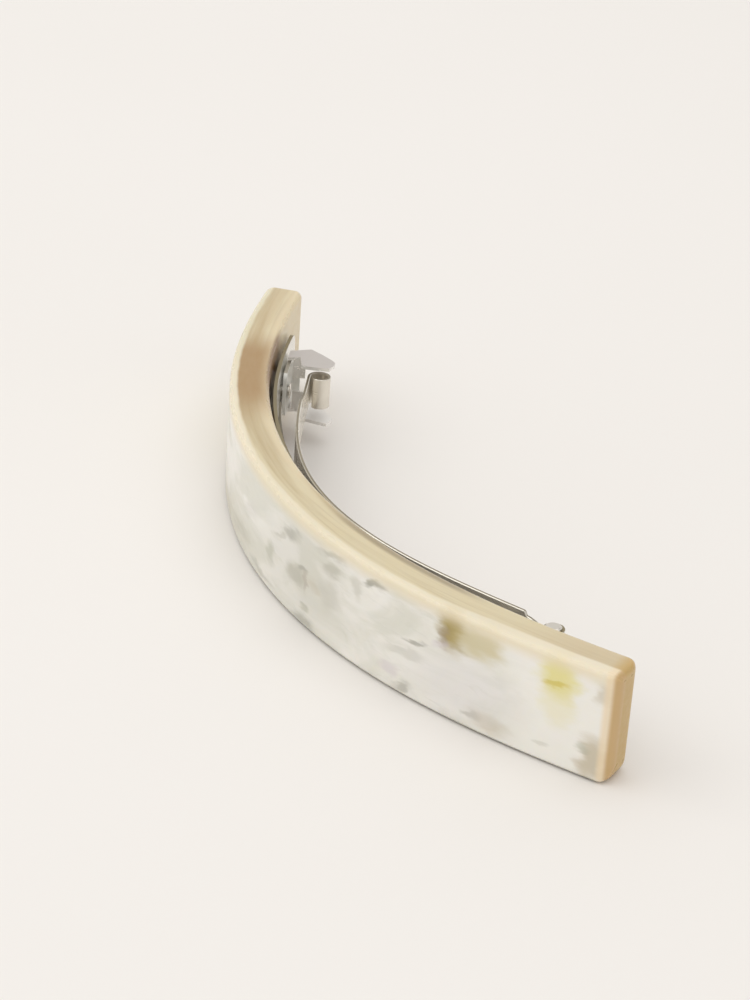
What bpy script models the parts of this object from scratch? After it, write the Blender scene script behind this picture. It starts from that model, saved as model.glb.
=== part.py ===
"""Hair barrette: a curved horn-look plate carrying a sprung steel clip on its hollow side.

Metres, +Z up. The barrette stands on its long edge with the origin in the middle of that
edge. The clip side looks towards +Y, the hinge end lies at +X and the clasp end at -X.
Plan positions are given as (along, off): the arc length along the plate's outer face and
the distance from the plate's inner face.
"""
import math

import bmesh
import bpy
import numpy as np
from mathutils import Matrix, Vector

MM = 0.001

# Plate: a slab of constant thickness on an arc that eases off towards its ends
PLATE_LENGTH = 100.0 * MM
PLATE_HEIGHT = 12.5 * MM
PLATE_THICKNESS = 4.4 * MM
PLATE_EDGE_RADIUS = 0.65 * MM
PLATE_END_RADIUS = 1.3 * MM            # the upright edges at both ends
PLATE_TOP_CORNER_RADIUS = 0.7 * MM     # the corners as the front face shows them
PLATE_BOTTOM_CORNER_RADIUS = 1.5 * MM
BEND = 0.849                           # radians at the ends if the mid-length bend went on
BEND_EASE = 0.216                      # radians given back at the ends
BEND_SKEW = 0.027                      # radians more bend towards the clasp end
CLIP_HEIGHT = 6.6 * MM                 # middle of the clip, a little above the plate's own

# Base bar: the stamped strip that lies along the plate
BAR_FROM, BAR_TO = -42.6 * MM, 40.6 * MM
BAR_WIDTH = 7.9 * MM
BAR_OFF = 0.5 * MM
BAR_SHEET = 0.4 * MM
BAR_CORNER = 1.6 * MM
BAR_FACE = BAR_OFF + BAR_SHEET

# Hinge: two ears on the bar and a pin through them
PIN_ALONG, PIN_OFF = 38.7 * MM, 2.4 * MM
PIN_RADIUS = 0.5 * MM
PIN_HEAD_RADIUS = 0.85 * MM
PIN_HEAD_HEIGHT = 0.25 * MM
PIN_HEAD_GAP = 0.1 * MM
EAR_RADIUS = 1.2 * MM
EAR_SHEET = 0.55 * MM
EAR_HOLE_RADIUS = 0.62 * MM

# Clasp arm: the long strip that closes over the hair
ARM_SHEET = 0.35 * MM
ARM_HALF_WIDTH = 3.25 * MM
ARM_TIP_HALF_WIDTH = 1.9 * MM
ARM_NECK_HALF_WIDTH = 2.75 * MM
ARM_NEAREST = 2.1 * MM          # least distance off the plate
ARM_NEAREST_ALONG = -3.0 * MM
ARM_TIP_RISE, ARM_TIP_SPAN = 0.9 * MM, 30.0 * MM
ARM_HINGE_RISE, ARM_HINGE_SPAN = 1.2 * MM, 40.0 * MM
ARM_TAPER_FROM, ARM_TAPER_TO = -30.5 * MM, -24.0 * MM
ROLL_ALONG = -35.3 * MM
ROLL_RADIUS = 1.25 * MM
ROLL_END_RADIUS = 0.85 * MM
ROLL_TURN = math.radians(318.0)
ARM_SHOULDER_FROM = 33.6 * MM   # where the arm narrows to its neck
ARM_DROP_ALONG = 34.0 * MM      # where the neck starts down to the pin
KNUCKLE_GAP = 0.12 * MM
KNUCKLE_START = math.radians(80.0)
KNUCKLE_TURN = math.radians(265.0)

# Tension bar: the leaf between the bar and the arm, and the bridge that anchors it
LEAF_FROM, LEAF_TO = -27.0 * MM, 33.2 * MM
LEAF_OFF = 1.33 * MM
LEAF_SHEET = 0.25 * MM
LEAF_HALF_WIDTH = 2.3 * MM
LEAF_WAIST_HALF_WIDTH = 1.75 * MM
LEAF_TAIL_RISE = 0.5 * MM
BRIDGE_FROM, BRIDGE_TO = 29.6 * MM, 31.4 * MM
BRIDGE_HALF_WIDTH = 2.55 * MM
BRIDGE_LEG = 0.45 * MM
BRIDGE_UNDERSIDE, BRIDGE_TOP = 1.8 * MM, 2.2 * MM

# Catch: a plate riveted on the bar with one squeeze tab along each side
CATCH_FROM, CATCH_TO = -39.15 * MM, -32.95 * MM
CATCH_SHEET = 0.4 * MM
CATCH_OFF = BAR_FACE + 0.25 * MM
CATCH_HALF_WIDTH = 2.8 * MM
CATCH_CORNER = 0.8 * MM
TAB_SHEET = 0.4 * MM
TAB_INSIDE = 3.1 * MM           # half the distance between the two tabs
TAB_FLARE = 0.25 * MM
TAB_ROOT_ALONG = -37.05 * MM
TAB_ROOT_OFF = 1.35 * MM
# (off, along on the clasp side, along on the hinge side) up the tab
TAB_ROWS = (
    (1.2, -37.95, -36.05), (2.6, -38.6, -36.45), (3.0, -38.8, -34.35), (3.5, -39.0, -34.05),
    (5.0, -37.6, -33.75), (6.3, -36.1, -33.55), (6.75, -35.45, -34.65),
)
STOP_ALONG = -36.35 * MM        # the stop flap folded in from each tab
STOP_OFF_FROM, STOP_OFF_TO = 1.85 * MM, 3.25 * MM
STOP_DEPTH = 2.2 * MM
STOP_SHEET = 0.35 * MM
LIP_ALONG = -38.65 * MM         # the lip folded up across the catch's clasp-side end
LIP_TOP = 2.4 * MM
LIP_HALF_WIDTH = 1.8 * MM

# Rivets
RIVET_RADIUS = 0.55 * MM
RIVET_HOLE_RADIUS = 0.72 * MM
RIVET_HEAD_RADIUS = 0.95 * MM
RIVET_HEAD_HEIGHT = 0.45 * MM
RIVET_GAP = 0.25 * MM
CATCH_RIVET_ALONG = -34.45 * MM
CATCH_RIVET_HEAD_HEIGHT = 0.15 * MM
CLASP_RIVET_ALONG = -40.7 * MM
HINGE_RIVET_ALONG = 35.4 * MM
RIVET_DEPTH = 1.8 * MM          # into the plate
POCKET_DEPTH = 2.1 * MM

SHARP_ANGLE = math.radians(32.0)
ROUND_STEPS = 32
EDGE_STEPS = 5


# Plan curve of the plate's outer face, tabulated once
ARC = np.linspace(-0.55 * PLATE_LENGTH, 0.55 * PLATE_LENGTH, 2201)


def heading(along):
    """Direction of the plate at an arc position, in radians from +X."""
    reach = along / (PLATE_LENGTH / 2)
    return BEND * reach - BEND_SKEW * reach ** 2 - BEND_EASE * reach ** 3


def running_sum(values):
    """Trapezoid integral over ARC, zero at mid-length."""
    steps = (values[1:] + values[:-1]) / 2 * np.diff(ARC)
    total = np.concatenate(([0.0], np.cumsum(steps)))
    return total - total[len(total) // 2]


CURVE_X = running_sum(np.cos(heading(ARC)))
CURVE_Y = running_sum(np.sin(heading(ARC)))


def spot(along, off):
    """Plan point at an arc position and a distance from the plate's inner face."""
    angle = heading(along)
    depth = PLATE_THICKNESS + off
    x = np.interp(along, ARC, CURVE_X) - depth * math.sin(angle)
    y = np.interp(along, ARC, CURVE_Y) + depth * math.cos(angle) - PLATE_THICKNESS / 2
    return Vector((x, y))


def spread(start, stop, count):
    return [float(value) for value in np.linspace(start, stop, count)]


def tapered_stations(start, stop, count, corner):
    """Arc positions from start to stop, packed closer over both rounded ends."""
    turn = [corner * (1 - math.cos(step * math.pi / 12)) for step in range(6)]
    middle = spread(start + corner, stop - corner, count)
    return [start + value for value in turn] + middle + [stop - value for value in turn[::-1]]


def rounded_half_width(along, start, stop, half_width, corner):
    """Half width of a strip whose four corners are rounded."""
    from_end = min(along - start, stop - along)
    if from_end >= corner:
        return half_width
    return half_width - corner + math.sqrt(max(0.0, corner ** 2 - (corner - from_end) ** 2))


def blend(value, start, stop, low, high):
    """Smooth step from low to high while value runs from start to stop."""
    part = min(1.0, max(0.0, (value - start) / (stop - start)))
    return low + (high - low) * part * part * (3 - 2 * part)


# Mesh helpers

def material(name, colour, roughness, metallic):
    made = bpy.data.materials.new(name)
    made.use_nodes = True
    shader = made.node_tree.nodes["Principled BSDF"]
    shader.inputs["Base Color"].default_value = (*colour, 1.0)
    shader.inputs["Roughness"].default_value = roughness
    shader.inputs["Metallic"].default_value = metallic
    return made


def finish(mesh_builder, name, slot):
    """Turn a bmesh into a named object, smooth except over sharp edges."""
    bmesh.ops.remove_doubles(mesh_builder, verts=mesh_builder.verts, dist=1e-7)
    bmesh.ops.recalc_face_normals(mesh_builder, faces=mesh_builder.faces)
    for face in mesh_builder.faces:
        face.smooth = True
    for edge in mesh_builder.edges:
        edge.smooth = len(edge.link_faces) == 2 and edge.calc_face_angle() < SHARP_ANGLE
    mesh = bpy.data.meshes.new(name)
    mesh_builder.to_mesh(mesh)
    mesh_builder.free()
    made = bpy.data.objects.new(name, mesh)
    bpy.context.collection.objects.link(made)
    mesh.materials.append(slot)
    return made


def loft(name, rings, slot):
    """Closed body through a row of equal-length point rings."""
    builder = bmesh.new()
    rows = [[builder.verts.new(point) for point in ring] for ring in rings]
    for low, high in zip(rows, rows[1:]):
        for index in range(len(low)):
            after = (index + 1) % len(low)
            builder.faces.new((low[index], low[after], high[after], high[index]))
    builder.faces.new(rows[0])
    builder.faces.new(rows[-1])
    return finish(builder, name, slot)


def path_normals(path):
    """Unit normal to the left of the path at each of its points."""
    normals = []
    for index in range(len(path)):
        ahead = path[min(index + 1, len(path) - 1)]
        behind = path[max(index - 1, 0)]
        run = (ahead - behind).normalized()
        normals.append(Vector((-run.y, run.x)))
    return normals


def ribbon(name, path, half_widths, sheet, slot):
    """Sheet strip standing on edge along a plan path, centred on the plate's mid-height."""
    rings = []
    for point, normal, half in zip(path, path_normals(path), half_widths):
        near = point - normal * sheet / 2
        far = point + normal * sheet / 2
        low, high = CLIP_HEIGHT - half, CLIP_HEIGHT + half
        rings.append([(near.x, near.y, low), (far.x, far.y, low),
                      (far.x, far.y, high), (near.x, near.y, high)])
    return loft(name, rings, slot)


def turned(name, profile, slot):
    """Body turned about +Z from (radius, height) pairs, first and last on the axis."""
    builder = bmesh.new()
    foot = builder.verts.new((0, 0, profile[0][1]))
    crown = builder.verts.new((0, 0, profile[-1][1]))
    rows = []
    for radius, height in profile[1:-1]:
        row = []
        for step in range(ROUND_STEPS):
            angle = 2 * math.pi * step / ROUND_STEPS
            row.append(builder.verts.new((radius * math.cos(angle), radius * math.sin(angle), height)))
        rows.append(row)
    for index in range(ROUND_STEPS):
        after = (index + 1) % ROUND_STEPS
        builder.faces.new((foot, rows[0][after], rows[0][index]))
        builder.faces.new((crown, rows[-1][index], rows[-1][after]))
        for low, high in zip(rows, rows[1:]):
            builder.faces.new((low[index], low[after], high[after], high[index]))
    return finish(builder, name, slot)


def stand_off(made, along, off, height):
    """Put a turned body's foot at a plan position, its axis pointing away from the plate."""
    where = spot(along, off)
    angle = heading(along)
    outward = Vector((-math.sin(angle), math.cos(angle), 0))
    made.location = (where.x, where.y, height)
    made.rotation_mode = "QUATERNION"
    made.rotation_quaternion = outward.to_track_quat("Z", "Y")


def cut(target, cutter, operation="DIFFERENCE"):
    """Boolean one object into another and put the other away."""
    change = target.modifiers.new(cutter.name, "BOOLEAN")
    change.operation = operation
    change.solver = "EXACT"
    change.object = cutter
    cutter.hide_render = True
    cutter.display_type = "WIRE"
    bpy.context.view_layer.update()
    graph = bpy.context.evaluated_depsgraph_get()
    built = bpy.data.meshes.new_from_object(target.evaluated_get(graph))
    target.modifiers.clear()
    target.data = built
    bpy.data.objects.remove(cutter)


def sharpen(made):
    """Shade a body smooth except over sharp edges, after its cuts."""
    builder = bmesh.new()
    builder.from_mesh(made.data)
    bmesh.ops.remove_doubles(builder, verts=builder.verts, dist=1e-7)
    bmesh.ops.dissolve_degenerate(builder, edges=builder.edges, dist=1e-7)
    for face in builder.faces:
        face.smooth = True
    for edge in builder.edges:
        edge.smooth = len(edge.link_faces) == 2 and edge.calc_face_angle() < SHARP_ANGLE
    builder.to_mesh(made.data)
    builder.free()


def soften(made, width, segments):
    """Round the sharp edges of a body."""
    bevel = made.modifiers.new("edges", "BEVEL")
    bevel.width = width
    bevel.segments = segments
    bevel.limit_method = "ANGLE"
    bevel.angle_limit = math.radians(40.0)
    bevel.use_clamp_overlap = True


def rivet_hole(target, along, off_from, off_to):
    """Drill a round hole into a body between two distances off the plate."""
    depth = off_to - off_from
    drill = turned("drill", [(0, 0), (RIVET_HOLE_RADIUS, 0), (RIVET_HOLE_RADIUS, depth), (0, depth)],
                   target.data.materials[0])
    stand_off(drill, along, off_from, CLIP_HEIGHT)
    cut(target, drill)


def rivet(name, along, foot_off, seat_off, head_height, slot):
    """Dome-headed rivet whose shank runs from foot_off to the head's seat."""
    shank = seat_off - foot_off
    profile = [(0, 0), (RIVET_RADIUS * 0.8, 0), (RIVET_RADIUS, RIVET_RADIUS * 0.2), (RIVET_RADIUS, shank)]
    profile.append((RIVET_HEAD_RADIUS, shank))
    for step in range(1, 6):
        angle = math.radians(15.0 * step)
        profile.append((RIVET_HEAD_RADIUS * math.cos(angle), shank + head_height * math.sin(angle)))
    profile.append((0, shank + head_height))
    made = turned(name, profile, slot)
    stand_off(made, along, foot_off, CLIP_HEIGHT)
    return made


# Pieces

def build_plate(slot):
    half_length = PLATE_LENGTH / 2
    rings = []
    for along in tapered_stations(-half_length, half_length, 61, PLATE_END_RADIUS):
        half_sheet = rounded_half_width(along, -half_length, half_length,
                                        PLATE_THICKNESS / 2, PLATE_END_RADIUS)
        above, below = (rounded_half_width(along, -half_length, half_length, PLATE_HEIGHT / 2, corner)
                        for corner in (PLATE_TOP_CORNER_RADIUS, PLATE_BOTTOM_CORNER_RADIUS))
        ring = []
        for quarter in range(4):
            side = 1 if quarter in (0, 3) else -1
            straight = above - PLATE_EDGE_RADIUS if quarter in (0, 1) else PLATE_EDGE_RADIUS - below
            for step in range(EDGE_STEPS + 1):
                angle = (quarter + step / EDGE_STEPS) * math.pi / 2
                across = side * (half_sheet - PLATE_EDGE_RADIUS) + PLATE_EDGE_RADIUS * math.cos(angle)
                rise = straight + PLATE_EDGE_RADIUS * math.sin(angle)
                point = spot(along, across - PLATE_THICKNESS / 2)
                ring.append((point.x, point.y, PLATE_HEIGHT / 2 + rise))
        rings.append(ring)
    plate = loft("horn_plate", rings, slot)
    for along in (CLASP_RIVET_ALONG, HINGE_RIVET_ALONG):
        rivet_hole(plate, along, -POCKET_DEPTH, 1.0 * MM)
    sharpen(plate)
    return plate


def sheet_in_plane(name, outline, low, high, slot):
    """Flat piece of sheet between two heights with an outline of (along, off) pairs."""
    rings = []
    for height in (low, high):
        points = [spot(along, off) for along, off in outline]
        rings.append([(point.x, point.y, height) for point in points])
    return loft(name, rings, slot)


def build_ear(low, high, slot):
    """Ear with a round top that stands off the bar at the hinge pin."""
    outline = [(PIN_ALONG - EAR_RADIUS, BAR_OFF + BAR_SHEET / 3)]
    for step in range(13):
        angle = math.pi - math.pi * step / 12
        outline.append((PIN_ALONG + EAR_RADIUS * math.cos(angle), PIN_OFF + EAR_RADIUS * math.sin(angle)))
    outline.append((PIN_ALONG + EAR_RADIUS, BAR_OFF + BAR_SHEET / 3))
    return sheet_in_plane("ear", outline, low, high, slot)


def build_bridge(slot):
    """Strap lanced up from the bar, open along the leaf that runs through it."""
    root = BAR_OFF + BAR_SHEET / 3
    inner = BRIDGE_HALF_WIDTH - BRIDGE_LEG
    section = [(root, -BRIDGE_HALF_WIDTH), (root, -inner), (BRIDGE_UNDERSIDE, -inner),
               (BRIDGE_UNDERSIDE, inner), (root, inner), (root, BRIDGE_HALF_WIDTH),
               (BRIDGE_TOP, BRIDGE_HALF_WIDTH), (BRIDGE_TOP, -BRIDGE_HALF_WIDTH)]
    rings = []
    for along in (BRIDGE_FROM, BRIDGE_TO):
        ring = []
        for off, side in section:
            point = spot(along, off)
            ring.append((point.x, point.y, CLIP_HEIGHT + side))
        rings.append(ring)
    return loft("bridge", rings, slot)


def build_bar(slot):
    stations = tapered_stations(BAR_FROM, BAR_TO, 61, BAR_CORNER)
    path = [spot(along, BAR_OFF + BAR_SHEET / 2) for along in stations]
    halves = [rounded_half_width(along, BAR_FROM, BAR_TO, BAR_WIDTH / 2, BAR_CORNER) for along in stations]
    bar = ribbon("base_bar", path, halves, BAR_SHEET, slot)
    bottom, top = CLIP_HEIGHT - BAR_WIDTH / 2, CLIP_HEIGHT + BAR_WIDTH / 2
    cut(bar, build_ear(bottom, bottom + EAR_SHEET, slot), "UNION")
    cut(bar, build_ear(top - EAR_SHEET, top, slot), "UNION")
    cut(bar, build_bridge(slot), "UNION")
    bore = turned("bore", [(0, 0), (EAR_HOLE_RADIUS, 0), (EAR_HOLE_RADIUS, PLATE_HEIGHT), (0, PLATE_HEIGHT)],
                  slot)
    where = spot(PIN_ALONG, PIN_OFF)
    bore.location = (where.x, where.y, 0)
    cut(bar, bore)
    for along in (CLASP_RIVET_ALONG, CATCH_RIVET_ALONG, HINGE_RIVET_ALONG):
        rivet_hole(bar, along, 0.1 * MM, BAR_FACE + 0.2 * MM)
    sharpen(bar)
    return bar


def arm_off(along):
    """Distance of the closed arm's middle surface off the plate."""
    reach = along - ARM_NEAREST_ALONG
    rise, span = (ARM_TIP_RISE, ARM_TIP_SPAN) if reach < 0 else (ARM_HINGE_RISE, ARM_HINGE_SPAN)
    return ARM_NEAREST + rise * (1 - math.cos(math.pi * reach / span))


def arm_roll():
    """(along, off) points of the rolled tip, from its free end to where the arm begins."""
    centre_off = arm_off(ROLL_ALONG) + ROLL_RADIUS
    points = []
    for step in range(41):
        part = step / 40
        angle = -math.pi / 2 - ROLL_TURN * (1 - part)
        radius = ROLL_END_RADIUS + (ROLL_RADIUS - ROLL_END_RADIUS) * part ** 0.7
        points.append((ROLL_ALONG + radius * math.cos(angle), centre_off + radius * math.sin(angle)))
    return points


def arm_drop():
    """(along, off) points from the arm down into the knuckle round the pin."""
    radius = PIN_RADIUS + KNUCKLE_GAP + ARM_SHEET / 2
    start = Vector((ARM_DROP_ALONG, arm_off(ARM_DROP_ALONG)))
    join = Vector((PIN_ALONG + radius * math.cos(KNUCKLE_START), PIN_OFF + radius * math.sin(KNUCKLE_START)))
    run = Vector((math.sin(KNUCKLE_START), -math.cos(KNUCKLE_START)))
    first = start + Vector((0.8 * MM, 0))
    second = join - run * 2.6 * MM
    points = []
    for step in range(1, 14):
        part = step / 14
        rest = 1 - part
        leaving = start * rest ** 3 + first * 3 * rest ** 2 * part
        where = leaving + second * 3 * rest * part ** 2 + join * part ** 3
        points.append((where.x, where.y))
    for step in range(31):
        angle = KNUCKLE_START - KNUCKLE_TURN * step / 30
        points.append((PIN_ALONG + radius * math.cos(angle), PIN_OFF + radius * math.sin(angle)))
    return points


def arm_half_width(along):
    if along < ARM_NEAREST_ALONG:
        return blend(along, ARM_TAPER_FROM, ARM_TAPER_TO, ARM_TIP_HALF_WIDTH, ARM_HALF_WIDTH)
    return blend(along, ARM_SHOULDER_FROM, ARM_DROP_ALONG, ARM_HALF_WIDTH, ARM_NECK_HALF_WIDTH)


def build_arm(slot, origin):
    points = arm_roll()
    points += [(along, arm_off(along)) for along in spread(-34.4 * MM, -24.0 * MM, 13)]
    points += [(along, arm_off(along)) for along in spread(-23.0 * MM, 33.0 * MM, 57)]
    points += [(along, arm_off(along)) for along in spread(33.4 * MM, ARM_DROP_ALONG, 7)]
    points += arm_drop()
    path = [spot(along, off) - origin for along, off in points]
    halves = [arm_half_width(along) for along, off in points]
    arm = ribbon("clasp_arm", path, halves, ARM_SHEET, slot)
    arm.location = (origin.x, origin.y, 0)
    soften(arm, 0.07 * MM, 1)
    return arm


def leaf_half_width(along):
    if along > BRIDGE_FROM - 1.5 * MM and along < BRIDGE_TO + 0.6 * MM:
        return LEAF_WAIST_HALF_WIDTH
    return rounded_half_width(along, LEAF_FROM, LEAF_TO, LEAF_HALF_WIDTH, 0.9 * MM)


def build_leaf(slot, origin):
    stations = tapered_stations(LEAF_FROM, LEAF_TO, 61, 0.9 * MM)
    rise = [blend(along, BRIDGE_TO + 0.5 * MM, LEAF_TO, 0, LEAF_TAIL_RISE) for along in stations]
    path = [spot(along, LEAF_OFF + lift) - origin for along, lift in zip(stations, rise)]
    halves = [leaf_half_width(along) for along in stations]
    leaf = ribbon("tension_bar", path, halves, LEAF_SHEET, slot)
    leaf.location = (origin.x, origin.y, 0)
    return leaf


def build_catch(slot):
    stations = tapered_stations(CATCH_FROM, CATCH_TO, 5, CATCH_CORNER)
    path = [spot(along, CATCH_OFF + CATCH_SHEET / 2) for along in stations]
    halves = [rounded_half_width(along, CATCH_FROM, CATCH_TO, CATCH_HALF_WIDTH, CATCH_CORNER)
              for along in stations]
    catch = ribbon("catch_plate", path, halves, CATCH_SHEET, slot)
    root = CATCH_OFF + CATCH_SHEET / 2
    lip = [(LIP_ALONG, root), (LIP_ALONG + CATCH_SHEET, root),
           (LIP_ALONG + CATCH_SHEET, LIP_TOP), (LIP_ALONG, LIP_TOP)]
    low, high = CLIP_HEIGHT - LIP_HALF_WIDTH, CLIP_HEIGHT + LIP_HALF_WIDTH
    cut(catch, sheet_in_plane("lip", lip, low, high, slot), "UNION")
    rivet_hole(catch, CATCH_RIVET_ALONG, BAR_FACE, CATCH_OFF + CATCH_SHEET + 0.2 * MM)
    sharpen(catch)
    return catch


def build_tab(name, side, slot):
    """Squeeze tab along one side of the catch; side is +1 for the upper one, -1 for the lower."""
    rings = []
    for off, left, right in TAB_ROWS:
        flare = blend(off * MM, 3.0 * MM, 7.1 * MM, 0, TAB_FLARE)
        inside = CLIP_HEIGHT + side * (TAB_INSIDE + flare)
        outside = inside + side * TAB_SHEET
        start, stop = spot(left * MM, off * MM), spot(right * MM, off * MM)
        rings.append([(start.x, start.y, inside), (stop.x, stop.y, inside),
                      (stop.x, stop.y, outside), (start.x, start.y, outside)])
    tab = loft(name, rings, slot)
    face = CLIP_HEIGHT + side * (TAB_INSIDE + TAB_SHEET / 2)
    tip = CLIP_HEIGHT + side * (TAB_INSIDE - STOP_DEPTH)
    stop_outline = [(STOP_ALONG - STOP_SHEET, STOP_OFF_FROM), (STOP_ALONG, STOP_OFF_FROM),
                    (STOP_ALONG, STOP_OFF_TO), (STOP_ALONG - STOP_SHEET, STOP_OFF_TO)]
    cut(tab, sheet_in_plane("stop", stop_outline, min(face, tip), max(face, tip), slot), "UNION")
    sharpen(tab)
    root = spot(TAB_ROOT_ALONG, TAB_ROOT_OFF)
    root_height = CLIP_HEIGHT + side * (TAB_INSIDE - 0.1 * MM)
    tab.data.transform(Matrix.Translation((-root.x, -root.y, -root_height)))
    tab.location = (root.x, root.y, root_height)
    return tab


def build_pin(slot, origin):
    half = BAR_WIDTH / 2 + PIN_HEAD_GAP
    crown = half + PIN_HEAD_HEIGHT
    profile = [(0, -crown), (PIN_HEAD_RADIUS * 0.75, -crown), (PIN_HEAD_RADIUS, -crown + PIN_HEAD_HEIGHT / 2),
               (PIN_HEAD_RADIUS, -half), (PIN_RADIUS, -half), (PIN_RADIUS, half), (PIN_HEAD_RADIUS, half),
               (PIN_HEAD_RADIUS, crown - PIN_HEAD_HEIGHT / 2), (PIN_HEAD_RADIUS * 0.75, crown), (0, crown)]
    pin = turned("hinge_pin", profile, slot)
    pin.location = (origin.x, origin.y, CLIP_HEIGHT)
    return pin


for leftover in list(bpy.data.objects):
    bpy.data.objects.remove(leftover)

horn = material("horn_look_acetate", (0.80, 0.74, 0.62), 0.22, 0.0)
bar_steel = material("plated_bar_steel", (0.72, 0.71, 0.68), 0.25, 1.0)
arm_steel = material("plated_arm_steel", (0.74, 0.73, 0.70), 0.18, 1.0)
spring_steel = material("spring_leaf_steel", (0.62, 0.61, 0.59), 0.30, 1.0)
tab_steel = material("plated_tab_steel", (0.66, 0.65, 0.63), 0.22, 1.0)
rivet_steel = material("rivet_steel", (0.70, 0.68, 0.65), 0.28, 1.0)

pin_spot = spot(PIN_ALONG, PIN_OFF)
leaf_spot = spot((BRIDGE_FROM + BRIDGE_TO) / 2, LEAF_OFF)

build_plate(horn)
build_bar(bar_steel)
build_arm(arm_steel, pin_spot)
build_leaf(spring_steel, leaf_spot)
build_catch(bar_steel)
build_tab("squeeze_tab_upper", 1, tab_steel)
build_tab("squeeze_tab_lower", -1, tab_steel)
build_pin(rivet_steel, pin_spot)
rivet("catch_rivet", CATCH_RIVET_ALONG, BAR_OFF + 0.1 * MM, CATCH_OFF + CATCH_SHEET + RIVET_GAP,
      CATCH_RIVET_HEAD_HEIGHT, rivet_steel)
for rivet_name, rivet_along in (("mount_rivet_clasp_end", CLASP_RIVET_ALONG),
                                ("mount_rivet_hinge_end", HINGE_RIVET_ALONG)):
    rivet(rivet_name, rivet_along, -RIVET_DEPTH, BAR_FACE + RIVET_GAP, RIVET_HEAD_HEIGHT, rivet_steel)
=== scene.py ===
import math

import bpy
import numpy as np
from mathutils import Matrix, Vector


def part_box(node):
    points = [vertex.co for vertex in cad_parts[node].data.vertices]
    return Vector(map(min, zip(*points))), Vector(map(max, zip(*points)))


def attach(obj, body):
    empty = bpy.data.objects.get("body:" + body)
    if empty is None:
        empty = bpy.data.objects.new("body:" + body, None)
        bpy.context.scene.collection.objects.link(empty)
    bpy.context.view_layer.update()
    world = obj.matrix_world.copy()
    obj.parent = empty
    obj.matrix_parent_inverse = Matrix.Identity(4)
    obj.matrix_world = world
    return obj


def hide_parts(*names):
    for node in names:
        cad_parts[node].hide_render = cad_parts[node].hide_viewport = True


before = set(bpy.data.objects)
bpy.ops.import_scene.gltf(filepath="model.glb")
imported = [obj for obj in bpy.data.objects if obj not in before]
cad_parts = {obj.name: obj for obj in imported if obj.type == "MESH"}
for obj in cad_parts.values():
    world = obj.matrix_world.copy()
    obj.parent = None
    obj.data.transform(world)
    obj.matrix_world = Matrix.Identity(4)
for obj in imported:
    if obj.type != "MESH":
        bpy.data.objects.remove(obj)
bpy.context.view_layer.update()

MM = 0.001

# The plate's plan curve and section, as in the part
PLATE_LENGTH = 100.0 * MM
PLATE_THICKNESS = 4.4 * MM
PLATE_EDGE_RADIUS = 0.65 * MM
PLATE_END_RADIUS = 1.3 * MM
PLATE_TOP_CORNER_RADIUS = 0.7 * MM
PLATE_BOTTOM_CORNER_RADIUS = 1.5 * MM
BEND, BEND_EASE, BEND_SKEW = 0.849, 0.216, 0.027
plate_low, plate_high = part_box("horn_plate")
PLATE_HEIGHT = plate_high[2] - plate_low[2]
FRONT_LAYER = 0.85 * MM         # the white sheet laminated on the tan body
FRONT_LAYER_GROWTH = 0.6 * MM   # it is thicker towards the hinge end

# How finely the plate is drawn: steps round each corner of its section, along the section's
# thickness and height, round each end, and points along the plate between its ends
CORNER_STEPS = 10
SHORT_RUN, LONG_RUN = 8, 20
END_STEPS = 12
MIDDLE_POINTS = 181
SECTION_ARC = 2 * CORNER_STEPS + SHORT_RUN  # points over the section's top, or its underside
SECTION_HALF = SECTION_ARC + LONG_RUN       # points over half the section

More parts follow.
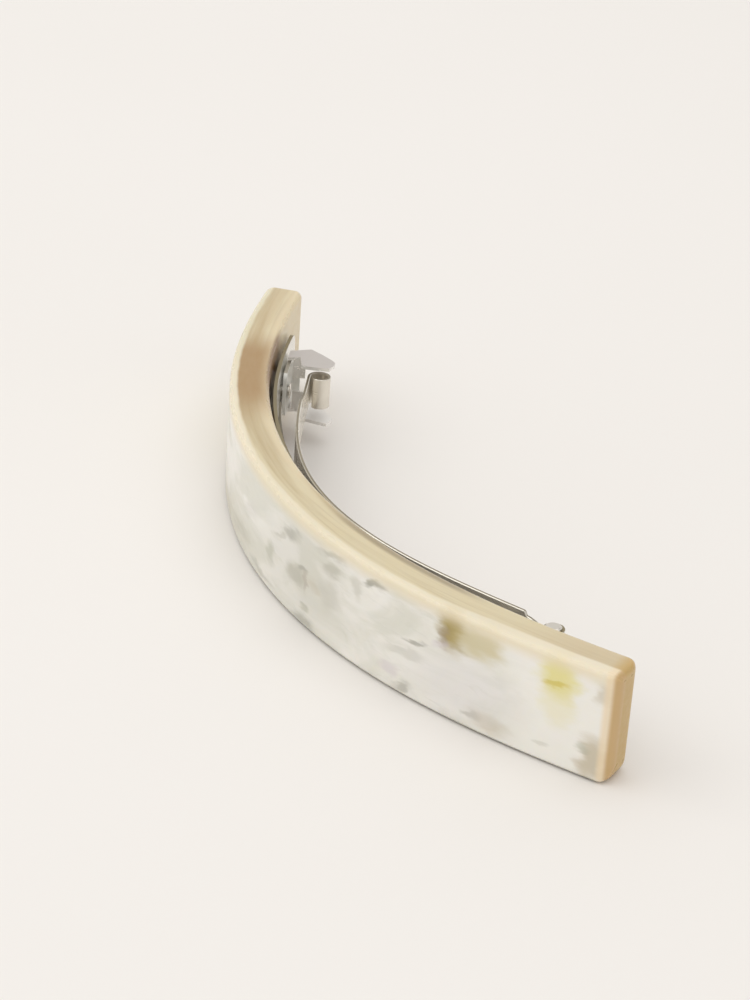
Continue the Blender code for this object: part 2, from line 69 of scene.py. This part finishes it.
# Marks in the white layer: (along, height, half length, half height) in mm, tilt in degrees,
# tone and strength
MARKS = (
    (31.2, 10.1, 1.9, 2.4, 0, "olive", 1.0),
    (30.1, 9.0, 0.8, 1.3, 0, "umber", 0.55),
    (34.4, 10.2, 2.9, 2.0, 6, "straw", 0.85),
    (29.8, 8.1, 1.2, 0.4, 18, "mauve", 0.35),
    (43.6, 10.2, 2.3, 2.5, 0, "yellow", 0.80),
    (43.2, 9.2, 1.6, 0.40, 12, "ochre", 0.75),
    (43.9, 6.8, 2.0, 2.2, 0, "yellow", 0.26),
    (20.5, 10.7, 1.6, 0.50, 18, "slate", 0.85),
    (13.8, 10.8, 2.6, 0.45, 10, "grey", 0.80),
    (14.2, 9.1, 1.9, 0.8, 15, "grey", 0.75),
    (18.2, 9.2, 0.8, 1.6, 25, "grey", 0.45),
    (13.6, 6.2, 2.0, 1.8, 25, "grey", 0.45),
    (6.3, 9.5, 1.6, 0.8, 10, "slate", 0.65),
    (3.6, 8.3, 1.4, 0.4, 25, "grey", 0.55),
    (7.4, 5.5, 1.9, 1.3, 5, "grey", 0.90),
    (9.4, 5.6, 0.6, 1.3, 0, "umber", 0.50),
    (8.7, 6.6, 1.1, 0.30, 12, "slate", 0.75),
    (11.0, 5.7, 1.2, 0.8, 0, "tan", 0.45),
    (1.4, 4.8, 1.1, 1.4, 0, "green", 0.60),
    (9.3, 0.9, 2.1, 0.8, 8, "slate", 0.60),
    (9.6, 2.4, 0.9, 0.4, 15, "green", 0.60),
    (26.6, 6.9, 1.7, 0.28, 14, "slate", 0.75),
    (25.6, 5.2, 3.0, 0.5, 6, "grey", 0.45),
    (23.5, 2.4, 1.3, 0.8, 0, "mauve", 0.40),
    (25.3, 1.2, 1.2, 0.5, 18, "slate", 0.60),
    (34.2, 1.9, 1.3, 0.45, 16, "slate", 0.65),
    (36.3, 1.8, 2.6, 1.1, 0, "tan", 0.60),
    (48.0, 2.6, 1.6, 2.6, -8, "tan", 0.90),
    (46.8, 3.4, 0.9, 0.6, 0, "green", 0.50),
    (48.6, 10.2, 1.1, 1.3, 0, "tan", 0.60),
    (42.6, 2.2, 0.9, 0.35, 10, "grey", 0.35),
    (33.0, 4.5, 7.0, 3.6, 5, "cool", 0.50),
    (8.0, 6.0, 10.0, 5.5, 8, "grey", 0.28),
    (-8.5, 2.4, 4.6, 1.0, 10, "grey", 0.65),
    (-1.0, 1.3, 3.0, 0.5, -4, "slate", 0.45),
    (-17.0, 1.2, 4.0, 1.3, 12, "grey", 0.60),
    (-5.0, 6.5, 3.0, 0.9, 15, "grey", 0.25),
    (-30.0, 8.0, 4.0, 1.5, 5, "straw", 0.25),
)
TONES = {
    "olive": (168, 149, 90), "straw": (206, 194, 154), "mauve": (204, 192, 198),
    "yellow": (224, 213, 124), "ochre": (208, 190, 88), "grey": (188, 185, 171),
    "slate": (160, 158, 146), "green": (178, 178, 158), "tan": (198, 187, 164),
    "umber": (160, 144, 128), "cool": (220, 217, 215),
}

# Camera: the barrette seen from beyond its hinge end, slightly rolled
AZIMUTH = math.radians(64.563)
ELEVATION = math.radians(28.655)
ROLL = math.radians(4.047)
DISTANCE = 318.67 * MM
TARGET_RIGHT = 11.255 * MM
TARGET_UP = 9.828 * MM
LENS = 108.0

# The studio is darker on one side, which gives the metal something to mirror
DARK_SIDE = (0.25, 0.90, 0.36)
STUDIO_LIGHT, STUDIO_DARK = (1, 0.995, 0.985, 1), (0.48, 0.47, 0.45, 1)
STUDIO_STRENGTH = 0.895
# Softboxes: (name, place in metres, size, power in watts, colour)
SOFTBOXES = (
    ("key", (-0.25, -0.55, 0.60), (0.7, 0.5), 1.05, (1.0, 0.99, 0.97)),
    ("top", (0.1, 0.1, 0.9), (0.8, 0.8), 1.0, (1.0, 0.995, 0.985)),
)
FLOOR_REACH = 3.0


def rgb(red, green, blue):
    """Linear colour from the usual 0 to 255 values."""
    def linear(value):
        share = value / 255
        return share / 12.92 if share <= 0.04045 else ((share + 0.055) / 1.055) ** 2.4
    return (linear(red), linear(green), linear(blue), 1.0)


# Plan curve

ARC = np.linspace(-0.55 * PLATE_LENGTH, 0.55 * PLATE_LENGTH, 2201)


def heading(along):
    reach = along / (PLATE_LENGTH / 2)
    return BEND * reach - BEND_SKEW * reach ** 2 - BEND_EASE * reach ** 3


def running_sum(values):
    steps = (values[1:] + values[:-1]) / 2 * np.diff(ARC)
    total = np.concatenate(([0.0], np.cumsum(steps)))
    return total - total[len(total) // 2]


CURVE_X = running_sum(np.cos(heading(ARC)))
CURVE_Y = running_sum(np.sin(heading(ARC)))


def spot(along, off):
    """Plan point at an arc position and a distance from the plate's inner face."""
    angle = heading(along)
    depth = PLATE_THICKNESS + off
    x = np.interp(along, ARC, CURVE_X) - depth * math.sin(angle)
    y = np.interp(along, ARC, CURVE_Y) + depth * math.cos(angle) - PLATE_THICKNESS / 2
    return Vector((x, y))


# Node helpers

def add(tree, kind, inputs=None, **settings):
    node = tree.nodes.new(kind)
    for key, value in settings.items():
        setattr(node, key, value)
    for key, value in (inputs or {}).items():
        if isinstance(value, bpy.types.NodeSocket):
            tree.links.new(value, node.inputs[key])
        else:
            node.inputs[key].default_value = value
    return node


def noise(tree, where, scale, detail=3.0, distortion=0.0):
    made = add(tree, "ShaderNodeTexNoise", {"Vector": where, "Scale": scale, "Detail": detail,
                                            "Distortion": distortion})
    return made.outputs["Fac"]


def ramp(tree, value, start, stop, low=0.0, high=1.0):
    made = add(tree, "ShaderNodeMapRange", {"Value": value, "From Min": start, "From Max": stop,
                                            "To Min": low, "To Max": high},
               interpolation_type="SMOOTHSTEP")
    return made.outputs["Result"]


def maths(tree, operation, first, second=0.0):
    made = add(tree, "ShaderNodeMath", {0: first, 1: second}, operation=operation)
    return made.outputs["Value"]


def both(tree, first, second):
    return maths(tree, "MULTIPLY", first, second)


def band(tree, value, middle, reach):
    """One at the middle, fading to nothing at a distance of reach."""
    away = maths(tree, "ABSOLUTE", maths(tree, "SUBTRACT", value, middle))
    return ramp(tree, away, reach, 0.15 * reach)


def mix(tree, share, first, second):
    made = add(tree, "ShaderNodeMix", {0: share, 6: first, 7: second}, data_type="RGBA")
    return made.outputs[2]


def stretched(tree, where, scale, shift=(0.0, 0.0, 0.0)):
    made = add(tree, "ShaderNodeVectorMath", {0: where, 1: scale, 2: shift}, operation="MULTIPLY_ADD")
    return made.outputs["Vector"]


def fresh(name):
    made = bpy.data.materials.new(name)
    made.use_nodes = True
    tree = made.node_tree
    return made, tree, tree.nodes["Principled BSDF"]


# Materials

def mark_share(tree, where, along, height, half_along, half_height, tilt, strength):
    """How much a mark covers a point, fading over its outer half."""
    local = add(tree, "ShaderNodeMapping", {
        "Vector": where, "Location": (along, 0, height), "Rotation": (0, -math.radians(tilt), 0),
        "Scale": (half_along, 1000.0, half_height)}, vector_type="TEXTURE")
    reach = add(tree, "ShaderNodeVectorMath", {0: local.outputs["Vector"]}, operation="LENGTH")
    return ramp(tree, reach.outputs["Value"], 1.4, 0.35, 0.0, strength)


def horn_material():
    """Laminated horn-look acetate, mapped by (along, off, height) in millimetres."""
    made, tree, shader = fresh("horn_acetate")
    place = add(tree, "ShaderNodeAttribute", attribute_name="place").outputs["Vector"]
    parts = add(tree, "ShaderNodeSeparateXYZ", {"Vector": place})
    along, off, height = parts.outputs

    # tan body: thin layers that run along the plate, browner round the clasp-side bend
    layers = noise(tree, stretched(tree, place, (0.03, 0.75, 0.05)), 1.0, 2.0, 0.3)
    fibres = noise(tree, stretched(tree, place, (0.10, 2.6, 0.5)), 1.0, 3.0)
    body = mix(tree, ramp(tree, layers, 0.36, 0.62), rgb(196, 177, 138), rgb(216, 202, 167))
    body = mix(tree, ramp(tree, fibres, 0.48, 0.72, 0.0, 0.22), body, rgb(168, 142, 100))
    pale = both(tree, ramp(tree, off, -1.8, -0.6), ramp(tree, along, 7.0, -3.0, 0.0, 0.75))
    body = mix(tree, pale, body, rgb(228, 212, 178))
    streak = both(tree, band(tree, off, -2.3, 1.1), ramp(tree, along, -12.0, -30.0, 0.0, 0.45))
    body = mix(tree, streak, body, rgb(192, 166, 122))
    line = both(tree, band(tree, off, -0.7, 0.75), ramp(tree, along, 5.0, 14.0, 0.0, 0.75))
    line = both(tree, line, ramp(tree, along, 34.0, 27.0))
    body = mix(tree, line, body, rgb(150, 134, 106))
    brown = both(tree, ramp(tree, along, -38.0, -31.0), ramp(tree, along, -12.0, -22.0))
    brown = both(tree, brown, ramp(tree, off, 0.0, -1.4, 0.55, 1.0))
    body = mix(tree, brown, body, rgb(170, 137, 90))
    body = mix(tree, ramp(tree, along, 36.0, 46.0, 0.0, 0.60), body, rgb(200, 180, 146))
    body = mix(tree, ramp(tree, along, 47.8, 49.6, 0.0, 0.90), body, rgb(196, 163, 100))
    # painted shade: a dark brown patch on the inner face under the base bar, standing in for the shade in
    # the gap between plate and bar
    shade_under_bar = both(tree, ramp(tree, along, -39.5, -35.5), ramp(tree, along, -20.0, -27.0))
    shade_under_bar = both(tree, shade_under_bar, ramp(tree, off, -0.5, -0.1, 0.0, 0.85))
    body = mix(tree, shade_under_bar, body, rgb(122, 84, 46))

    # white layer: milky clouds with the marks in it
    drift = add(tree, "ShaderNodeTexNoise", {"Vector": stretched(tree, place, (0.35, 0.5, 0.9)),
                                             "Scale": 1.0, "Detail": 4.0})
    centred = add(tree, "ShaderNodeVectorMath", {0: drift.outputs["Color"], 1: (0.5, 0.5, 0.5)},
                  operation="SUBTRACT").outputs["Vector"]
    warped = add(tree, "ShaderNodeVectorMath", {0: centred, 1: (3.2, 0.0, 1.8), 2: place},
                 operation="MULTIPLY_ADD").outputs["Vector"]
    clouds = noise(tree, stretched(tree, place, (0.09, 0.4, 0.22)), 1.0, 5.0, 0.8)
    wisps = noise(tree, stretched(tree, warped, (0.22, 0.4, 1.3)), 1.0, 4.0, 0.4)
    white = mix(tree, ramp(tree, clouds, 0.38, 0.64), rgb(219, 217, 206), rgb(236, 233, 226))
    white = mix(tree, ramp(tree, wisps, 0.56, 0.74, 0.0, 0.30), white, rgb(200, 198, 184))
    # painted light: the white layer is made lighter towards the hinge end, standing in for more light
    # falling on that part of the front
    white = mix(tree, ramp(tree, along, 34.0, 42.0, 0.0, 0.8), white, rgb(241, 238, 231))
    for mark_along, mark_height, half_along, half_height, tilt, tone, strength in MARKS:
        share = mark_share(tree, warped, mark_along, mark_height, half_along, half_height, tilt, strength)
        white = mix(tree, share, white, rgb(*TONES[tone]))
    white = mix(tree, ramp(tree, height, 10.4, 12.2, 0.0, 0.80), white, rgb(230, 217, 187))
    low_left = both(tree, ramp(tree, along, 6.0, -16.0), ramp(tree, height, 7.0, 1.0, 0.0, 0.45))
    white = mix(tree, low_left, white, rgb(200, 195, 176))
    # painted shade: a dark olive line along the bottom of the front face, where the plate meets the floor
    white = mix(tree, ramp(tree, height, 0.5, 0.15, 0.0, 0.75), white, rgb(118, 112, 90))
    white = mix(tree, ramp(tree, along, 48.3, 49.0, 0.0, 0.75), white, rgb(234, 214, 180))
    white = mix(tree, ramp(tree, along, 49.15, 49.65, 0.0, 0.90), white, rgb(196, 162, 108))
    white = mix(tree, ramp(tree, along, -24.0, -34.0, 0.0, 0.60), white, rgb(216, 208, 176))

    seam = maths(tree, "ADD", off, ramp(tree, noise(tree, stretched(tree, place, (0.3, 0.0, 0.3)), 1.0),
                                        0.3, 0.7, -0.05, 0.05))
    seam = maths(tree, "SUBTRACT", seam, ramp(tree, along, 27.0, 38.0, 0.0, FRONT_LAYER_GROWTH / MM))
    boundary = (FRONT_LAYER - PLATE_THICKNESS) / MM
    in_front = ramp(tree, seam, boundary + 0.22, boundary - 0.18)
    tree.links.new(mix(tree, in_front, body, white), shader.inputs["Base Color"])

    # satin polish, a little glossier on the rounded edges, with faint lengthwise draw lines
    haze = noise(tree, stretched(tree, place, (0.5, 2.0, 2.0)), 1.0, 4.0)
    edge = add(tree, "ShaderNodeAttribute", attribute_name="edge").outputs["Fac"]
    satin = maths(tree, "SUBTRACT", ramp(tree, haze, 0.3, 0.7, 0.30, 0.44),
                  maths(tree, "MULTIPLY", edge, 0.12))
    tree.links.new(satin, shader.inputs["Roughness"])
    lines = noise(tree, stretched(tree, place, (0.5, 9.0, 9.0)), 1.0, 3.0)
    bump = add(tree, "ShaderNodeBump", {"Height": lines, "Strength": 0.10, "Distance": 0.02 * MM})
    tree.links.new(bump.outputs["Normal"], shader.inputs["Normal"])
    shader.inputs["Subsurface Weight"].default_value = 0.25
    shader.inputs["Subsurface Radius"].default_value = (1.0, 0.75, 0.45)
    shader.inputs["Subsurface Scale"].default_value = 1.2 * MM
    shader.inputs["IOR"].default_value = 1.48
    shader.inputs["Coat Weight"].default_value = 0.12
    shader.inputs["Coat Roughness"].default_value = 0.18
    return made


def plated_material(name, colour, edge_and_level_shade_tone, roughness, metallic, grain=(0.04, 0.04, 1.0)):
    """Nickel plate on rolled steel: rolling lines, soft smears, small pits, and a darker, duller tone on
    faces turned up or down, partly the sheared edges' bare steel and partly painted shade.
    """
    made, tree, shader = fresh(name)
    where = add(tree, "ShaderNodeTexCoord").outputs["Object"]
    smears = noise(tree, where, 130.0, 3.0, 0.4)
    rolled = noise(tree, stretched(tree, where, grain), 3200.0, 2.0)
    pits = noise(tree, where, 2600.0, 2.0)
    duller = tuple(channel * 0.90 for channel in colour[:3]) + (1.0,)
    tone = mix(tree, ramp(tree, smears, 0.40, 0.66), colour, duller)
    tone = mix(tree, ramp(tree, pits, 0.70, 0.82, 0.0, 0.18), tone, rgb(132, 126, 114))
    # painted shade: every face turned up or down takes the darker edge tone, the duller sheared edges and
    # also the shade on the level faces of flat sheets
    facing = add(tree, "ShaderNodeNewGeometry").outputs["Normal"]
    upright = add(tree, "ShaderNodeSeparateXYZ", {"Vector": facing}).outputs["Z"]
    edge_and_level_shade = ramp(tree, maths(tree, "ABSOLUTE", upright), 0.70, 0.95)
    tree.links.new(mix(tree, edge_and_level_shade, tone, edge_and_level_shade_tone), shader.inputs["Base Color"])
    polish = maths(tree, "ADD", ramp(tree, smears, 0.38, 0.70, roughness - 0.03, roughness + 0.06),
                   ramp(tree, rolled, 0.50, 0.75, 0.0, 0.07))
    tree.links.new(maths(tree, "ADD", polish, both(tree, edge_and_level_shade, 0.12)), shader.inputs["Roughness"])
    bump = add(tree, "ShaderNodeBump", {"Height": rolled, "Strength": 0.16, "Distance": 0.006 * MM})
    tree.links.new(bump.outputs["Normal"], shader.inputs["Normal"])
    shader.inputs["Metallic"].default_value = metallic
    return made


def paper_material():
    made, tree, shader = fresh("paper")
    where = add(tree, "ShaderNodeTexCoord").outputs["Object"]
    cloud = noise(tree, where, 9.0, 3.0)
    tree.links.new(mix(tree, cloud, rgb(238, 234, 229), rgb(241, 237, 233)), shader.inputs["Base Color"])
    shader.inputs["Roughness"].default_value = 0.85
    shader.inputs["Specular IOR Level"].default_value = 0.2
    return made


# Pieces

def mesh_object(name, points, faces, body, finish):
    mesh = bpy.data.meshes.new(name)
    mesh.from_pydata([tuple(point) for point in points], [], faces)
    mesh.shade_smooth()
    made = bpy.data.objects.new(name, mesh)
    bpy.context.collection.objects.link(made)
    mesh.materials.append(finish)
    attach(made, body)
    return made


def corner_inset(from_end, radius):
    """How far a face steps back at a distance from a rounded end."""
    left = max(0.0, radius - from_end)
    return radius - math.sqrt(max(0.0, radius ** 2 - left ** 2))


def fill_flats(row):
    """Replace each ("fill", n) entry by n points on the straight run to the next corner."""
    full = []
    for index, entry in enumerate(row):
        if entry[0] != "fill":
            full.append(entry)
            continue
        before = row[index - 1]
        after = row[(index + 1) % len(row)]
        for step in range(1, entry[1]):
            share = step / entry[1]
            between = [low + (high - low) * share for low, high in zip(before, after)]
            full.append((*between[:3], 0.0))
    return full


def cap_faces(base, high, low):
    """Faces that close the ring starting at base, fanned round the inner points high and low."""
    faces = []
    for start, centre in ((0, high), (SECTION_HALF, low)):
        for index in range(start, start + SECTION_ARC):
            faces.append([base + index, base + index + 1, centre])
    for step in range(LONG_RUN):
        back = -step % (2 * SECTION_HALF)
        front = SECTION_ARC + step
        upper = [high] if step == 0 else []
        lower = [low] if step == LONG_RUN - 1 else []
        faces.append([base + (back - 1) % (2 * SECTION_HALF), base + back] + upper
                     + [base + front, base + front + 1] + lower)
    return faces


def horn_slab(finish):
    """The plate with finer roundings, each point knowing its place along, off and up."""
    half = PLATE_LENGTH / 2
    turn = [PLATE_END_RADIUS * (1 - math.cos(math.pi / 2 * step / END_STEPS)) for step in range(END_STEPS)]
    middle = np.linspace(-half + PLATE_END_RADIUS, half - PLATE_END_RADIUS, MIDDLE_POINTS).tolist()
    stations = [-half + value for value in turn] + middle + [half - value for value in turn[::-1]]
    radius = PLATE_EDGE_RADIUS
    grid = []
    for along in stations:
        from_end = half - abs(along)
        half_sheet = PLATE_THICKNESS / 2 - corner_inset(from_end, PLATE_END_RADIUS)
        above = PLATE_HEIGHT / 2 - corner_inset(from_end, PLATE_TOP_CORNER_RADIUS)
        below = PLATE_HEIGHT / 2 - corner_inset(from_end, PLATE_BOTTOM_CORNER_RADIUS)
        row = []
        for quarter in range(4):
            side = 1 if quarter in (0, 3) else -1
            straight = above - radius if quarter in (0, 1) else radius - below
            for step in range(CORNER_STEPS + 1):
                angle = (quarter + step / CORNER_STEPS) * math.pi / 2
                across = side * (half_sheet - radius) + radius * math.cos(angle)
                rise = straight + radius * math.sin(angle)
                rounded = 1 - abs(2 * step / CORNER_STEPS - 1)
                row.append((along, across - PLATE_THICKNESS / 2, PLATE_HEIGHT / 2 + rise, rounded))
            row.append(("fill", SHORT_RUN if quarter in (0, 2) else LONG_RUN))
        grid.append(fill_flats(row))
    count = len(grid[0])
    entries = [entry for row in grid for entry in row]
    for row in (grid[0], grid[-1]):
        for start in (0, SECTION_HALF):
            entries.append(tuple(np.mean((row[start], row[start + SECTION_ARC]), axis=0)))
    points, places, edges = [], [], []
    for along, off, height, rounded in entries:
        where = spot(along, off)
        points.append((where.x, where.y, height))
        places.append((along / MM, off / MM, height / MM))
        edges.append(rounded)
    faces = []
    for low in range(len(grid) - 1):
        for index in range(count):
            after = (index + 1) % count
            faces.append((low * count + index, low * count + after,
                          (low + 1) * count + after, (low + 1) * count + index))
    inner = len(grid) * count
    faces += [face[::-1] for face in cap_faces(0, inner, inner + 1)]
    faces += cap_faces(inner - count, inner + 2, inner + 3)
    slab = mesh_object("horn_slab", points, faces, "plate_and_bar", finish)
    place = slab.data.attributes.new("place", "FLOAT_VECTOR", "POINT")
    place.data.foreach_set("vector", np.array(places, dtype=np.float32).ravel())
    edge = slab.data.attributes.new("edge", "FLOAT", "POINT")
    edge.data.foreach_set("value", np.array(edges, dtype=np.float32))
    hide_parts("horn_plate")
    return slab


horn_slab(horn_material())

bar_finish = plated_material("nickel_bar", rgb(236, 233, 224), rgb(142, 130, 100), 0.22, 0.65)
catch_finish = plated_material("nickel_catch", rgb(244, 243, 238), rgb(170, 162, 146), 0.40, 0.25,
                               (0.4, 0.4, 1.0))
arm_finish = plated_material("nickel_arm", rgb(236, 230, 218), rgb(140, 130, 110), 0.22, 0.60)
spring_finish = plated_material("spring_steel", rgb(176, 170, 159), rgb(120, 112, 96), 0.24, 1.0)
tab_finish = plated_material("nickel_tab", rgb(246, 243, 238), rgb(196, 189, 183), 0.26, 0.40,
                             (0.4, 0.4, 1.0))
# painted light: a copy of the tab finish with a near-white tone on its level faces, so the lower tab reads
# as brightly lit
lit_lower_tab_finish = plated_material("nickel_lower_tab_painted_light", rgb(246, 243, 238), rgb(240, 236, 231), 0.26, 0.30,
                                   (0.4, 0.4, 1.0))
rivet_finish = plated_material("nickel_rivet", rgb(228, 223, 214), rgb(214, 208, 198), 0.20, 1.0,
                               (1.0, 1.0, 1.0))
# CAD nodes that stay: their finish and the rounding of their sheared edges in millimetres
CARRIED = {
    "base_bar": (bar_finish, 0.07), "catch_plate": (catch_finish, 0.07), "clasp_arm": (arm_finish, 0.0),
    "tension_bar": (spring_finish, 0.05), "squeeze_tab_upper": (tab_finish, 0.09),
    "squeeze_tab_lower": (lit_lower_tab_finish, 0.09), "hinge_pin": (rivet_finish, 0.05),
    "catch_rivet": (rivet_finish, 0.0), "mount_rivet_clasp_end": (rivet_finish, 0.0),
    "mount_rivet_hinge_end": (rivet_finish, 0.0),
}
for node, (finish, rounding) in CARRIED.items():
    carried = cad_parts[node]
    carried.material_slots[0].material = finish
    if rounding:
        bevel = carried.modifiers.new("sheared_edges", "BEVEL")
        bevel.width = rounding * MM
        bevel.segments = 2
        bevel.limit_method = "ANGLE"
        bevel.angle_limit = math.radians(40.0)
        bevel.harden_normals = True


# Stage

def build_floor():
    corners = [(side * FLOOR_REACH, end * FLOOR_REACH, 0)
               for side, end in ((-1, -1), (1, -1), (1, 1), (-1, 1))]
    mesh = bpy.data.meshes.new("floor")
    mesh.from_pydata(corners, [], [(0, 1, 2, 3)])
    floor = bpy.data.objects.new("floor", mesh)
    bpy.context.collection.objects.link(floor)
    mesh.materials.append(paper_material())


def softbox(name, place, size, power, colour):
    """Rectangular light aimed at the origin."""
    data = bpy.data.lights.new(name, "AREA")
    data.shape = "RECTANGLE"
    data.size, data.size_y = size
    data.energy = power
    data.color = colour
    light = bpy.data.objects.new(name, data)
    bpy.context.collection.objects.link(light)
    light.location = place
    light.rotation_mode = "QUATERNION"
    light.rotation_quaternion = (-Vector(place)).to_track_quat("-Z", "Y")


def light_studio():
    world = bpy.data.worlds.new("studio")
    world.use_nodes = True
    tree = world.node_tree
    way = add(tree, "ShaderNodeTexCoord").outputs["Generated"]
    away = add(tree, "ShaderNodeVectorMath", {0: way, 1: DARK_SIDE}, operation="DOT_PRODUCT")
    shade = ramp(tree, away.outputs["Value"], 0.80, 0.97)
    tree.links.new(mix(tree, shade, STUDIO_LIGHT, STUDIO_DARK),
                   tree.nodes["Background"].inputs["Color"])
    tree.nodes["Background"].inputs["Strength"].default_value = STUDIO_STRENGTH
    bpy.context.scene.world = world
    for box in SOFTBOXES:
        softbox(*box)


def aim_camera():
    forward = Vector((-math.sin(AZIMUTH) * math.cos(ELEVATION), math.cos(AZIMUTH) * math.cos(ELEVATION),
                      -math.sin(ELEVATION)))
    right = Vector((math.cos(AZIMUTH), math.sin(AZIMUTH), 0))
    up = right.cross(forward)
    rolled_right = right * math.cos(ROLL) + up * math.sin(ROLL)
    rolled_up = up * math.cos(ROLL) - right * math.sin(ROLL)
    target = right * TARGET_RIGHT + up * TARGET_UP - Vector((0, PLATE_THICKNESS / 2, 0))
    data = bpy.data.cameras.new("camera")
    data.lens = LENS
    data.clip_start = 0.01
    camera = bpy.data.objects.new("camera", data)
    bpy.context.collection.objects.link(camera)
    turn = Matrix((rolled_right, rolled_up, -forward)).transposed().to_4x4()
    camera.matrix_world = Matrix.Translation(target - forward * DISTANCE) @ turn
    bpy.context.scene.camera = camera


build_floor()
light_studio()
aim_camera()
bpy.context.scene.view_settings.view_transform = "Standard"
